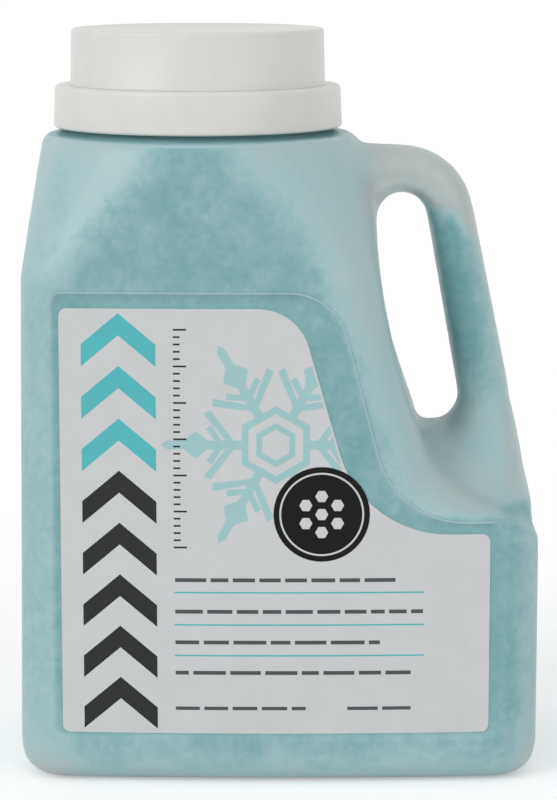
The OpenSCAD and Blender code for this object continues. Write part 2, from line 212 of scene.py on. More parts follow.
def hdpeMaterial():
    # Natural HDPE, blow moulded: milky and satin. The tinted crystals behind it show as soft mottling,
    # and the wall is paler where no crystals touch it. That paleness is painted on the mesh; parts of it
    # are painted light and painted shade.
    settings = {
        "stops": [(0, "#4F9B97"), (0.16, "#6AA3A3"), (0.34, "#82B0B4"), (0.56, "#A3C3C6"), (0.8, "#B6C0BF"),
                  (1, "#D2DCDA")],
        "span": 1.25,             # paleness at the last stop
        # size in mm, detail and depth of a crystal's soft shadow, a clump, and a denser part of the fill
        "mottling": [(3.2, 1, 0.045), (9, 2, 0.07), (38, 2, 0.08)],
        "crystal": 2.7,           # mm, one crystal against the wall
        "sparkle": 0.04,          # its own tone
        "fade": (0.55, 0.95),     # paleness over which the mottling goes
        "faded": 0.1,             # what is left of it
        "shadeRadius": (0.0588, 0.0594), "shadeHeight": (0.2470, 0.2478), "shadeTone": 0.5,
        "rimHeight": (0.2464, 0.2472), "rimHighlightTone": 0.78,
        "peel": 0.8,              # mm, orange peel of the mould, drawn coarser than the real one
        "peelDepth": (0.1, 0.0002),
        "seam": 0.0007,           # half the width of the parting line
        "seamDepth": (0.5, 0.0003),
        "cloud": 40, "roughness": (0.38, 0.46),
    }
    material, shader = newMaterial("naturalHdpe")
    place = objectPlace(material)
    pale = addNode(material, "ShaderNodeAttribute", attribute_name="paleness").outputs["Fac"]
    cells = addNode(material, "ShaderNodeTexVoronoi", {"Vector": place, "Scale": 1000 / settings["crystal"]})
    single = addNode(material, "ShaderNodeSeparateColor", {"Color": cells.outputs["Color"]}).outputs[0]
    mottle = ranged(material, single, (0, 1), (-settings["sparkle"], settings["sparkle"]))
    for size, detail, depth in settings["mottling"]:
        layer = ranged(material, noisy(material, place, 1000 / size, detail), noiseSpan, (-depth, depth))
        mottle = computed(material, "ADD", mottle, layer)
    # the mottling fades out where the jug is empty behind the wall
    fade = ranged(material, pale, settings["fade"], (1, settings["faded"]))
    tone = computed(material, "ADD", computed(material, "MULTIPLY", mottle, fade), pale)
    # the shoulder's rounded rim holds no crystals, and it carries a painted highlight where its rounded edge catches
    # the light
    axes = addNode(material, "ShaderNodeSeparateXYZ", {"Vector": place})
    tone = ranged(material, axes.outputs["Z"], settings["rimHeight"], (tone, settings["rimHighlightTone"]))
    # painted shade: the flat top round the neck, where the wall is thick, is painted darker for the collar's shade
    # over it
    toAxis = addNode(material, "ShaderNodeVectorMath", {0: place, 1: neckAxis}, operation="SUBTRACT").outputs[0]
    level = addNode(material, "ShaderNodeVectorMath", {0: toAxis, 1: (1, 1, 0)}, operation="MULTIPLY").outputs[0]
    away = addNode(material, "ShaderNodeVectorMath", {0: level}, operation="LENGTH").outputs["Value"]
    near = ranged(material, away, settings["shadeRadius"], (1, 0))
    above = ranged(material, axes.outputs["Z"], settings["shadeHeight"])
    paintedCollarShade = computed(material, "MULTIPLY", near, above)
    tone = ranged(material, paintedCollarShade, (0, 1), (tone, settings["shadeTone"]))
    fitted = computed(material, "DIVIDE", tone, settings["span"])
    ramp = addNode(material, "ShaderNodeValToRGB", {"Fac": fitted})
    ends = ramp.color_ramp.elements
    ends[0].color = linearColour(settings["stops"][0][1])
    ends[1].color = linearColour(settings["stops"][-1][1])
    for position, colour in settings["stops"][1:-1]:
        ends.new(position).color = linearColour(colour)
    # orange peel, and the parting line round the middle plane
    peel = bumped(material, noisy(material, place, 1000 / settings["peel"]), settings["peelDepth"])
    off = computed(material, "ABSOLUTE", axes.outputs["Y"])
    seam = ranged(material, off, (settings["seam"], 0.2 * settings["seam"]), interpolation_type="SMOOTHSTEP")
    clouds = noisy(material, place, settings["cloud"])
    feed(material, shader, {
        "Base Color": ramp.outputs["Color"], "Roughness": ranged(material, clouds, noiseSpan, settings["roughness"]),
        "Normal": bumped(material, seam, settings["seamDepth"], peel), "IOR": 1.54,
        "Subsurface Weight": 0.12, "Subsurface Radius": (0.8, 1, 1), "Subsurface Scale": 0.002})
    return material


def neckMaterial():
    # The same HDPE at the neck, thick and milky, with no crystals against it.
    settings = {"dark": "#B0D6D1", "light": "#BEE0DB", "cloud": 60, "roughness": 0.4}
    material, shader = newMaterial("neckHdpe")
    clouds = noisy(material, objectPlace(material), settings["cloud"])
    dark, light = linearColour(settings["dark"]), linearColour(settings["light"])
    feed(material, shader, {
        "Base Color": twoTone(material, clouds, dark, light, noiseSpan),
        "Roughness": settings["roughness"], "IOR": 1.54})
    return material


def closureMaterial():
    # White polypropylene, injection moulded: warm white, even satin, with a faint flow in the gloss.
    settings = {"dark": "#DBDAD5", "light": "#E1E0DC", "flow": 18, "drawn": 0.35, "grain": 0.6,
                "grainDepth": (0.08, 0.0001), "roughness": (0.33, 0.40)}
    material, shader = newMaterial("whitePolypropylene")
    place = objectPlace(material)
    drawn = addNode(material, "ShaderNodeMapping", {"Vector": place, "Scale": (1, 1, settings["drawn"])})
    flow = noisy(material, drawn.outputs["Vector"], 1000 / settings["flow"], detail=3, distortion=0.8)
    grain = noisy(material, place, 1000 / settings["grain"], detail=1)
    dark, light = linearColour(settings["dark"]), linearColour(settings["light"])
    feed(material, shader, {
        "Base Color": twoTone(material, flow, dark, light, noiseSpan),
        "Roughness": ranged(material, flow, noiseSpan, settings["roughness"]),
        "Normal": bumped(material, grain, settings["grainDepth"]), "IOR": 1.49,
        "Subsurface Weight": 0.1, "Subsurface Radius": (1, 0.9, 0.8), "Subsurface Scale": 0.002})
    return material


def foamMaterial():
    # Foamed polyethylene: matt, off-white, with fine closed cells.
    settings = {"dark": "#D2D3D1", "light": "#E9EAE7", "cells": 1600, "depth": (0.3, 0.0001), "roughness": 0.75}
    material, shader = newMaterial("foamedPolyethylene")
    cells = addNode(material, "ShaderNodeTexVoronoi", {
        "Vector": objectPlace(material), "Scale": settings["cells"]}).outputs["Distance"]
    feed(material, shader, {
        "Base Color": twoTone(material, cells, linearColour(settings["dark"]), linearColour(settings["light"])),
        "Roughness": settings["roughness"], "Normal": bumped(material, cells, settings["depth"])})
    return material


def crystalMaterial():
    # Tinted rock-salt crystals: pale aqua, glassy faces with a bloom of dust.
    settings = {"dark": "#5FA3A8", "light": "#B5D9DA", "grains": 260, "frost": 900, "frostDepth": (0.3, 0.0003),
                "roughness": (0.25, 0.6)}
    material, shader = newMaterial("tintedSalt")
    place = objectPlace(material)
    grains = addNode(material, "ShaderNodeTexVoronoi", {
        "Vector": place, "Scale": settings["grains"]}).outputs["Color"]
    frost = noisy(material, place, settings["frost"])
    feed(material, shader, {
        "Base Color": twoTone(material, grains, linearColour(settings["dark"]), linearColour(settings["light"])),
        "Roughness": ranged(material, frost, (0, 1), settings["roughness"]),
        "Normal": bumped(material, frost, settings["frostDepth"]), "IOR": 1.54})
    return material


def printedMaterial(name, colour):
    # Printed polypropylene film: flat ink under a satin varnish that lets a little of the film's grain through.
    settings = {"dark": 0.965, "light": 1.02, "inkSpan": (0.25, 0.75), "grain": 90, "wave": 30,
                "waveDepth": (0.1, 0.0004), "roughness": (0.31, 0.37), "gloss": 0.2}
    material, shader = newMaterial(name)
    place = objectPlace(material)
    grain = noisy(material, place, settings["grain"], detail=4, roughness=0.6)
    wave = noisy(material, place, settings["wave"], detail=1)
    dark, light = (tuple(min(1, c * settings[end]) for c in linearColour(colour)[:3]) + (1,)
                   for end in ("dark", "light"))
    feed(material, shader, {
        "Base Color": twoTone(material, grain, dark, light, settings["inkSpan"]),
        "Roughness": ranged(material, grain, noiseSpan, settings["roughness"]),
        "Normal": bumped(material, wave, settings["waveDepth"]), "IOR": 1.49,
        "Specular IOR Level": settings["gloss"]})
    return material


hdpe = hdpeMaterial()
neckHdpe = neckMaterial()
whiteClosure = closureMaterial()
foam = foamMaterial()
salt = crystalMaterial()
film = printedMaterial("labelFilm", "#D0D2D3")
inks = {
    "aqua": printedMaterial("aquaInk", "#58BBC0"),
    "paleAqua": printedMaterial("paleAquaInk", "#A3CACC"),
    "charcoal": printedMaterial("charcoalInk", "#2B2D2E"),
    "black": printedMaterial("blackInk", "#050607"),
    "grey": printedMaterial("greyInk", "#505455"),
    "white": film,
}
print("materials made")


# ---- jug ----

jug = {
    "voxel": 0.0023, "allOver": 3, "roots": 12, "foot": 60,    # the remesher's voxel, then rounds of smoothing
    "halfWidth": 0.1012, "depth": 0.062, "topDepth": 0.061, "bow": 0.0045,
    "panelDeep": 0.001, "panelEdge": 0.0028, "panelSpan": (0.012, 0.198), "panelPainted": (0.015, 0.196),
    "onPanel": 0.00035, "panelSlack": 0.0002, "panelRim": 0.0042, "panelFlat": 0.004,
    "wall": 0.0016, "neckHole": 0.0500, "neckFrom": 0.244,
    # the panel's corners in millimetres: x, z, corner radius
    "panel": [(-86.3, 19, 4), (87, 19, 4), (87, 103, 4), (44.18, 103, 36), (21.1, 191.6, 22), (-86.3, 191.6, 4)],
    # the finger hole's upper end in millimetres: x, z, radius; and the grip's lean in degrees
    "holeTop": (48.6, 214.9, 10.2), "lean": 10.2,
    "gripWide": 0.0184, "gripLowWide": 0.0187, "gripWidens": 0.03,
}


def frontDepth(x, z):
    # how far the jug's bowed front lies from the middle plane, without the panel
    upright = jug["depth"] + (jug["topDepth"] - jug["depth"]) * z / shoulderTop
    return upright - jug["bow"] * (x / jug["halfWidth"]) ** 2


def roundedOutline(corners):
    # the outline in metres, each corner turned round its radius
    points = []
    count = len(corners)
    for i, (x, z, radius) in enumerate(corners):
        corner = Vector((x, z))
        before = (Vector(corners[i - 1][:2]) - corner).normalized()
        after = (Vector(corners[(i + 1) % count][:2]) - corner).normalized()
        half = before.angle(after) / 2
        centre = corner + (before + after).normalized() * radius / math.sin(half)
        start = corner + before * radius / math.tan(half) - centre
        turn = math.pi - 2 * half
        if before.cross(after) > 0:
            turn = -turn
        steps = 12 if radius > 10 else 5
        for k in range(steps + 1):
            c, s = math.cos(turn * k / steps), math.sin(turn * k / steps)
            points.append((centre + Vector((start.x * c - start.y * s, start.x * s + start.y * c))) / 1000)
    return points


def insideDistance(outline, x, z):
    # distance in from the outline, negative outside it
    point = Vector((x, z))
    nearest = 1
    inside = False
    for a, b in zip(outline, outline[1:] + outline[:1]):
        side = b - a
        t = min(1, max(0, (point - a).dot(side) / side.length_squared))
        nearest = min(nearest, (point - a - side * t).length)
        if (a.y > z) != (b.y > z) and x < (b.x - a.x) * (z - a.y) / (b.y - a.y) + a.x:
            inside = not inside
    return nearest if inside else -nearest


def outerSkin():
    # the CAD jug's outside, closed over the neck and without its panels
    bm = nodeCopy("jug_body")
    top = max(v.co.z for v in bm.verts)
    lip = [f for f in bm.faces if all(v.co.z > top - sameLevel for v in f.verts)]
    bmesh.ops.delete(bm, geom=lip, context="FACES_ONLY")
    start = min(bm.verts, key=lambda v: v.co.z)
    reached, edge = {start}, [start]
    while edge:
        near = [e.other_vert(v) for v in edge for e in v.link_edges]
        edge = [v for v in set(near) if v not in reached]
        reached.update(edge)
    bmesh.ops.delete(bm, geom=[v for v in bm.verts if v not in reached], context="VERTS")
    bmesh.ops.contextual_create(bm, geom=[e for e in bm.edges if e.is_boundary])
    for v in bm.verts:
        side = -1 if v.co.y < 0 else 1
        lies = side * v.co.y - frontDepth(v.co.x, v.co.z)
        if abs(lies + jug["panelDeep"]) < jug["onPanel"]:
            if insideDistance(panelOutline, v.co.x, v.co.z) > -jug["panelSlack"]:
                v.co.y += side * jug["panelDeep"]
    bmesh.ops.remove_doubles(bm, verts=bm.verts, dist=sameLevel)
    return bm


def remeshed(bm, voxel):
    # one even skin through Blender's voxel remesher
    mesh = bpy.data.meshes.new("remeshed")
    bm.to_mesh(mesh)
    bm.free()
    holder = bpy.data.objects.new("remeshed", mesh)
    bpy.context.scene.collection.objects.link(holder)
    remesher = holder.modifiers.new("remesh", "REMESH")
    remesher.mode = "VOXEL"
    remesher.voxel_size = voxel
    evaluated = holder.evaluated_get(bpy.context.evaluated_depsgraph_get())
    fresh = bmesh.new()
    fresh.from_mesh(evaluated.to_mesh())
    bpy.data.objects.remove(holder)
    return fresh


def smoothed(bm, verts, times):
    for _ in range(times):
        bmesh.ops.smooth_vert(bm, verts=verts, factor=0.5, use_axis_x=True, use_axis_y=True, use_axis_z=True)


def gripPlace(x, z):
    # place across the grip, 0 at the finger hole's edge and 1 at the outer one, and the direction across
    topX, topZ, radius = (value / 1000 for value in jug["holeTop"])
    if z > topZ:
        away = math.hypot(x - topX, z - topZ)
        return (away - radius) / jug["gripWide"], (x - topX) / away, (z - topZ) / away
    c, s = math.cos(math.radians(jug["lean"])), math.sin(math.radians(jug["lean"]))
    edge = topX + radius / c + (topZ - z) * s / c
    return (x - edge) / (jug["gripLowWide"] + jug["gripWidens"] * (topZ - z)), c, s


# the heap of crystals under the neck: height and half its width
heap = [(0.175, 0.056), (0.196, 0.0505), (0.2145, 0.042), (0.2215, 0.036), (0.229, 0.028), (0.2385, 0.018),
        (0.249, 0.014)]

# how pale each part of the wall is: below 0.2 dense crystals lie on it, at 1 the jug is empty behind it;
# the ledge, the grip's foot and the tones for faces turned in to the hole are painted light as well
tones = {
    "body": 0.42, "bodyDrift": 0.05, "besideHeap": 0.74, "corner": 0.66, "strip": 0.76,
    "ledge": 0.74, "ledgeTurnedPaintedLight": 0.14, "panel": 0.36,
    "grip": 0.21, "gripOuter": 0.50, "gripDrift": 0.04, "gripFoot": 0.70, "gripInsidePaintedLight": 0.15, "gripEdgePaintedLight": 1.25,
    "empty": 1.02, "emptyInsidePaintedLight": 0.25, "top": 0.80, "foot": 0.26, "low": 0.08,
}

# how much of each patch covers what was there
cover = {"corner": 0.9, "strip": 0.9, "ledge": 0.85, "panel": 0.85}

# slow changes: waves to the metre, and metres by which they shift an edge
wanders = [(45, 0.004), (120, 0.003)]
drifts = {"body": 14, "grip": 60}

# where one part goes over into the next, in metres unless it is a share of the facing
edges = {
    "facing": (0.75, 0.9), "turned": (0, 0.4), "turnedIn": (0.1, 0.7), "straightIn": (0.94, 0.99),
    "flank": (-0.011, 0.010), "heapFoot": (0.165, 0.195),
    "cornerDepth": (0.030, 0.052), "leftCorner": (0.075, 0.086), "rightCorner": (0.088, 0.097),
    "rightCornerTop": (0.108, 0.118),
    "beside": (-0.026, -0.008), "stripFoot": (0.100, 0.118), "ledgeFoot": (0.103, 0.108), "ledge": (0.040, 0.060),
    "panel": (-0.0005, 0.0015), "across": (0.42, 0.95), "gripFoot": (0.138, 0.168), "gripStart": (0.128, 0.148),
    "emptyLevel": (-0.006, 0.006), "emptyStart": (0.026, 0.044),
    "topLevel": (0.239, 0.247), "topFlank": (-0.01, 0.02), "foot": (0.0, 0.020), "low": (0.012, 0.045),
}

# the finger hole's side towards the body, and the level of the crystals in the grip
hole = {"x": 0.0384, "leans": 0.0175, "top": 0.2069, "tall": 0.0736, "power": 1.6, "rim": 0.006}
gripFill = {"level": 0.2215, "sinks": 0.020, "from": -0.3, "above": 0.128}


def heapHalf(z):
    for (low, wide), (high, narrow) in zip(heap, heap[1:]):
        if z < high:
            return wide + (narrow - wide) * max(0, z - low) / (high - low)
    return heap[-1][1]


def over(name, value):
    return smoothStep(*edges[name], value)


def palenessAt(co, normal):
    x, y, z = co
    wander = sum(noise.noise(co * waves) * shift for waves, shift in wanders)
    value = tones["body"] + tones["bodyDrift"] * noise.noise(co * drifts["body"])
    # the crystals heap up under the neck, so the wall is pale above the heap's flanks
    flank = abs(x - neckAxis.x) - heapHalf(z) + wander
    value += (tones["besideHeap"] - value) * over("flank", flank) * over("heapFoot", z)
    # pale upright corners, and the strip beside the finger hole
    corner = over("cornerDepth", abs(y))
    if x < 0:
        corner *= over("leftCorner", -x)
    else:
        corner *= over("rightCorner", x) * (1 - over("rightCornerTop", z))
    value += (tones["corner"] - value) * cover["corner"] * corner
    holeX = hole["x"] + hole["leans"] * max(0, (hole["top"] - z) / hole["tall"]) ** hole["power"]
    value += (tones["strip"] - value) * cover["strip"] * over("beside", x - holeX) * over("stripFoot", z)
    # painted light: the slope under the finger hole is painted pale where it faces up to the light, and paler still
    # where it turns from the front, to even out its shade
    ledge = tones["ledge"] + tones["ledgeTurnedPaintedLight"] * over("turned", 1 - abs(normal.y))
    value += (ledge - value) * cover["ledge"] * over("ledgeFoot", z) * over("ledge", x)
    # inside the panel the wall lies closer to the crystals
    if within(jug["panelPainted"], z):
        inPanel = over("panel", insideDistance(panelOutline, x, z)) * over("facing", abs(normal.y))
        value += (tones["panel"] - value) * cover["panel"] * inPanel
    # the grip: dense crystals towards the hole, paler at its outer edge, and painted light towards its foot where it
    # slopes up
    across, acrossX, acrossZ = gripPlace(x, z)
    inward = -(normal.x * acrossX + normal.z * acrossZ)
    turnedIn = over("turnedIn", inward)
    level = gripFill["level"] - gripFill["sinks"] * min(1, max(0, across)) ** 2
    emptyGrip = over("emptyLevel", z + wander - level) * over("emptyStart", x)
    if x > holeX + hole["rim"] and across > gripFill["from"] and z > gripFill["above"]:
        grip = tones["grip"] + tones["gripOuter"] * over("across", across)
        grip += tones["gripDrift"] * noise.noise(co * drifts["grip"])
        # painted light: paler towards the foot, where the grip slopes up to the light, and where its faces turn in
        # to the hole, against their shade
        grip += (tones["gripFoot"] - grip) * (1 - over("gripFoot", z)) + tones["gripInsidePaintedLight"] * turnedIn
        # painted light: the hole's inner wall, shut off from the lamps, is painted pale as if light came through the
        # thin wall
        grip += (tones["gripEdgePaintedLight"] - grip) * over("straightIn", inward)
        value += (grip - value) * over("gripStart", z)
    # the empty top of the grip is pale with no crystals behind it, and painted light lifts its faces turned in to
    # the hole against their shade
    value += (tones["empty"] + tones["emptyInsidePaintedLight"] * turnedIn - value) * emptyGrip
    emptyTop = over("topLevel", z + 0.5 * wander) * over("topFlank", flank)
    value += (tones["top"] - value) * emptyTop * (1 - emptyGrip)
    return value + tones["foot"] * (1 - over("foot", z)) + tones["low"] * (1 - over("low", z))


panelOutline = roundedOutline(jug["panel"])


# parts of the skin with a smoothing of their own: spans of x and z, and for the foot its sloping top
roots = {
    "notch": ((0.024, 0.042), (0.2395, 1)), "upper": ((0.027, 0.043), (0.205, 0.2405)),
    "foot": ((0.050, 0.088), (0.109, 0.130)), "footSlope": 0.3, "footSlopeFrom": 0.06, "footOffMiddle": 0.012,
}


def softenRoots(bm):
    # both ends of the handle run softly into the body, but the notch over the upper one stays crisp
    def among(name, slope=0):
        spanX, (low, high) = roots[name]
        return [v for v in bm.verts if within(spanX, v.co.x)
                and within((low, high + slope * (v.co.x - roots["footSlopeFrom"])), v.co.z)]
    notch = set(among("notch"))
    smoothed(bm, [v for v in bm.verts if v not in notch], jug["allOver"])
    smoothed(bm, list(notch), 1)
    smoothed(bm, among("upper"), jug["roots"])
    foot = [v for v in among("foot", roots["footSlope"]) if abs(v.co.y) > roots["footOffMiddle"]]
    smoothed(bm, foot, jug["foot"])


# the knee's push: how far out, how far at most, and where it comes and goes upwards and outwards
knee = {"out": 0.0025, "limit": 0.1003, "from": (0.0865, 0.0935), "gone": (0.094, 0.116),
        "outwards": (0.070, 0.097)}


def pushKnee(bm):
    # the side turns into the slope a little higher than the coarse CAD knee
    for v in bm.verts:
        full = smoothStep(*knee["from"], v.co.z) * (1 - smoothStep(*knee["gone"], v.co.z))
        out = knee["out"] * full * smoothStep(*knee["outwards"], v.co.x)
        v.co.x += max(0, min(out, knee["limit"] - v.co.x))
    bm.normal_update()


def sinkPanels(bm):
    # finer faces along the panel's outline, then both panels sink
    near = set()
    for v in bm.verts:
        if abs(v.normal.y) > 0.8 and within(jug["panelSpan"], v.co.z):
            if abs(insideDistance(panelOutline, v.co.x, v.co.z)) < jug["panelRim"]:
                near.add(v)
    cut = [e for e in bm.edges if e.verts[0] in near and e.verts[1] in near]
    bmesh.ops.subdivide_edges(bm, edges=cut, cuts=1, use_grid_fill=True)
    bm.normal_update()
    for v in bm.verts:
        if abs(v.normal.y) > 0.6 and within(jug["panelSpan"], v.co.z):
            distance = insideDistance(panelOutline, v.co.x, v.co.z)
            side = -1 if v.co.y < 0 else 1
            if distance > jug["panelFlat"]:
                v.co.y = side * frontDepth(v.co.x, v.co.z)
            sunk = smoothStep(-0.3 * jug["panelEdge"], 0.7 * jug["panelEdge"], distance)
            v.co.y -= side * jug["panelDeep"] * sunk
    bm.normal_update()


def fromAxis(v):
    return math.hypot(v.co.x - neckAxis.x, v.co.y)


def openShoulder(bm):
    # a round hole for the neck
    inner = [f for f in bm.faces
             if all(v.co.z > jug["neckFrom"] and fromAxis(v) < jug["neckHole"] + 0.001 for v in f.verts)]
    bmesh.ops.delete(bm, geom=inner, context="FACES")
    for v in bm.verts:
        if v.is_boundary:
            reach = jug["neckHole"] / fromAxis(v)
            v.co.x = neckAxis.x + (v.co.x - neckAxis.x) * reach
            v.co.y *= reach
    bm.normal_update()


def makeJug():
    bm = remeshed(outerSkin(), jug["voxel"])
    softenRoots(bm)
    pushKnee(bm)
    print("jug skin has", len(bm.faces), "faces")
    sinkPanels(bm)
    openShoulder(bm)
    layer = bm.verts.layers.float.new("paleness")
    for v in bm.verts:
        v[layer] = palenessAt(v.co, v.normal)
    piece = finishPiece("jugBody", bm, "jug", [hdpe], ["jug_body"], smooth=None)
    wall = piece.modifiers.new("wall", "SOLIDIFY")
    wall.thickness = jug["wall"]
    wall.offset = -1


makeJug()
print("jug made")


# ---- neck ----

neck = {
    "outer": 51, "bore": 48.6, "top": 263.9, "edge": 0.6, "under": 246.6,
    # the flare into the shoulder: out from the neck, and height
    "flare": [(2.2, 246.9), (2.2, 248.4), (1.1, 248.75), (0.35, 249.4), (0, 250.4)],
    "thread": {"root": 50.7, "tip": 52.9, "foot": 3.6, "crest": 1.5, "z": 253.2, "lead": 10, "turns": 0.85,
               "start": 200},
}


def makeNeck():
    r, bore, top, edge = (neck[name] for name in ("outer", "bore", "top", "edge"))
    section = [(bore, neck["under"])] + [(r + out, z) for out, z in neck["flare"]]
    section += arc(r - edge, top - edge, edge, 0, 90) + arc(bore + edge, top - edge, edge, 90, 180)
    bm = lathe(section)
    addThread(bm, neck["thread"])
    bmesh.ops.recalc_face_normals(bm, faces=bm.faces)
    finishPiece("jugNeck", bm, "jug", [neckHdpe])


makeNeck()
print("neck made")


# ---- sifter collar ----

collar = {
    "low": 56.7, "high": 56.1, "wall": 2, "foot": 250.8, "deck": 267.3, "edge": 1.7, "footEdge": 1.2, "lip": 0.4,
    "spigot": 44.6, "bore": 42.8, "rim": 286.0, "root": 1.2, "rootDip": 0.35, "rimEdge": 0.5, "boreEdge": 0.4,
    "plate": 277.7, "ledge": 1.6,
    "inside": {"root": 54.7, "tip": 52.2, "foot": 3.4, "crest": 1.4, "z": 257.6, "lead": 10, "turns": 0.55,
               "start": 20},
    "outside": {"root": 44.3, "tip": 46.8, "foot": 3.2, "crest": 1.3, "z": 271.6, "lead": 10, "turns": 1.0,
                "start": 80},
}


def makeCollar():
    c = collar
    inside, under, ledge = c["low"] - c["wall"], c["deck"] - c["wall"], c["bore"] - c["ledge"]
    # the skirt
    section = [(c["high"] - c["wall"], under), (inside, c["foot"] + c["lip"]), (inside + c["lip"], c["foot"])]
    section += arc(c["low"] - c["footEdge"], c["foot"] + c["footEdge"], c["footEdge"], -90, 0)
    section += arc(c["high"] - c["edge"], c["deck"] - c["edge"], c["edge"], 0, 90, 7)
    # the spigot
    section += [(c["spigot"] + c["root"], c["deck"]), (c["spigot"] + c["rootDip"], c["deck"] + c["rootDip"]),
                (c["spigot"], c["deck"] + c["root"])]
    section += arc(c["spigot"] - c["rimEdge"], c["rim"] - c["rimEdge"], c["rimEdge"], 0, 90)
    section += arc(c["bore"] + c["boreEdge"], c["rim"] - c["boreEdge"], c["boreEdge"], 90, 180)
    # the ledge under the sifter plate
    section += [(c["bore"], c["plate"]), (ledge, c["plate"]), (ledge, c["plate"] - c["ledge"]),
                (c["bore"], c["plate"] - 2 * c["ledge"]), (c["bore"], under)]
    bm = lathe(section, 160)
    addThread(bm, c["inside"])
    addThread(bm, c["outside"])
    bmesh.ops.recalc_face_normals(bm, faces=bm.faces)
    finishPiece("sifterCollar", bm, "collar", [whiteClosure], ["sifter_collar"], smooth=50)


makeCollar()
print("collar made")


# ---- overcap ----

overcap = {
    "low": 50, "high": 49.5, "wall": 1.8, "foot": 267.36, "top": 289.2, "edge": 1.3, "flare": 0.7, "lip": 0.3,
    "corner": 1, "dishFrom": 6, "dishTo": 7.2, "dish": 0.25,
    "inside": {"root": 48.3, "tip": 46.1, "foot": 3.2, "crest": 1.3, "z": 272.4, "lead": 10, "turns": 0.75,
               "start": 290},
}


def makeOvercap():
    c = overcap
    inHigh, inLow, under, flare = c["high"] - c["wall"], c["low"] - c["wall"], c["top"] - c["wall"], c["flare"]
    section = [(0, under), (inHigh - c["corner"], under), (inHigh, under - c["corner"]),
               (inLow, c["foot"] + c["lip"]), (inLow + c["lip"], c["foot"]), (c["low"] + flare, c["foot"]),
               (c["low"] + 0.3 * flare, c["foot"] + 0.3 * flare), (c["low"], c["foot"] + 1.1 * flare)]
    section += arc(c["high"] - c["edge"], c["top"] - c["edge"], c["edge"], 0, 90, 8)
    section += [(c["high"] - c["dishFrom"], c["top"]), (c["high"] - c["dishTo"], c["top"] - c["dish"]),
                (0, c["top"] - c["dish"])]
    bm = lathe(section, 160, closed=False)
    addThread(bm, c["inside"])
    bmesh.ops.recalc_face_normals(bm, faces=bm.faces)
    finishPiece("overcap", bm, "cap", [whiteClosure], ["overcap"], smooth=50)


makeOvercap()
print("overcap made")


# ---- sifter plate, gasket and liner ----

# node: piece, body, slot, material, the angle under which faces count as flat, bevel
plainPieces = {
    "sifter_plate": ("sifterPlate", "collar", "closure", whiteClosure, 2, 0.00035),
    "neck_gasket": ("neckGasket", "collar_seal", "seal", foam, 1, 0.0002),
    "overcap_liner": ("overcapLiner", "cap_seal", "seal", foam, 1, 0.0002),
}


def makePlain(node, name, body, slotName, material, flat, bevel):
    # the CAD's shape with its sharp edges broken
    bm = nodeCopy(node)
    bmesh.ops.dissolve_limit(bm, angle_limit=math.radians(flat), verts=bm.verts, edges=bm.edges)
    sharp = [e for e in bm.edges if e.is_manifold and e.calc_face_angle() > math.radians(sharpAngle)]
    bmesh.ops.bevel(bm, geom=sharp, offset=bevel, segments=2, profile=0.5, affect="EDGES", material=-1)
    finishPiece(name, bm, body, [material], [node], smooth=35)


for node, settings in plainPieces.items():
    makePlain(node, *settings)
print("sifter plate and seals made")


# ---- crystals ----

crystals = {
    "voxel": 0.004, "clear": 0.0007,                     # kept away from the jug's wall
    "flatFrom": 0.2, "dip": 0.0012, "ripple": 220,       # the mound's uneven top
    "count": 420, "size": (0.0016, 0.0030), "wide": 1.3, "squash": 0.6, "bevel": 0.18,
    # the top's level, its fall towards the wall, and how far the loose crystals lie from the neck's axis
    "level": 0.242, "fall": 0.010, "fallFrom": 0.0337, "fallOver": 0.0675, "sink": 0.0006, "reach": 0.052,
}


def makeCrystals():
    c = crystals
    bm = remeshed(nodeCopy("crystal_fill"), c["voxel"])
    for v in bm.verts:
        v.co -= v.normal * c["clear"]
        if v.normal.z > 0.6 and v.co.z > c["flatFrom"]:
            v.co.z -= c["dip"] * (1 + noise.noise(v.co * c["ripple"]))
    for _ in range(c["count"]):
        away = c["reach"] * math.sqrt(rng.random())
        around = rng.random() * math.tau
        size = rng.uniform(*c["size"])
        height = c["level"] - c["fall"] * max(0, (away - c["fallFrom"]) / c["fallOver"]) - c["sink"]
        place = Vector((neckAxis.x + away * math.cos(around), away * math.sin(around), height - size))
        turn = Matrix.Rotation(rng.random() * math.tau, 4,
                               Vector((rng.random(), rng.random(), rng.random() + 0.1)))
        stretch = Matrix.Diagonal((1, rng.uniform(c["squash"], 1), rng.uniform(c["squash"], 1), 1))
        made = bmesh.ops.create_cube(bm, size=size * c["wide"], matrix=Matrix.Translation(place) @ turn @ stretch)
        bmesh.ops.bevel(bm, geom=list({e for v in made["verts"] for e in v.link_edges}), offset=size * c["bevel"],
                        segments=1, profile=0.5, affect="EDGES", material=-1)
    finishPiece("crystalFill", bm, "jug", [salt], ["crystal_fill"], smooth=25)


makeCrystals()
print("crystals made")


# ---- label and its print ----

label = {
    "film": 0.00025, "gap": 0.00005, "ink": 0.00002, "layer": 1.5, "strip": 0.006,
    "outline": [(-83.4, 20.8, 3), (81.2, 20.8, 3), (81.2, 98.9, 3), (32.5, 98.9, 44),
                (7.3, 186.1, 20), (-83.4, 186.1, 3)],
}
labelOutline = roundedOutline(label["outline"])


def addShape(bm, points):
    # one flat shape in the label's plane, from points in millimetres
    bm.faces.new([bm.verts.new((x / 1000, 0, z / 1000)) for x, z in points])


def cutOff(bm, point, normal):
    geom = bm.verts[:] + bm.edges[:] + bm.faces[:]
    bmesh.ops.bisect_plane(bm, geom=geom, plane_co=point, plane_no=normal, clear_outer=True)


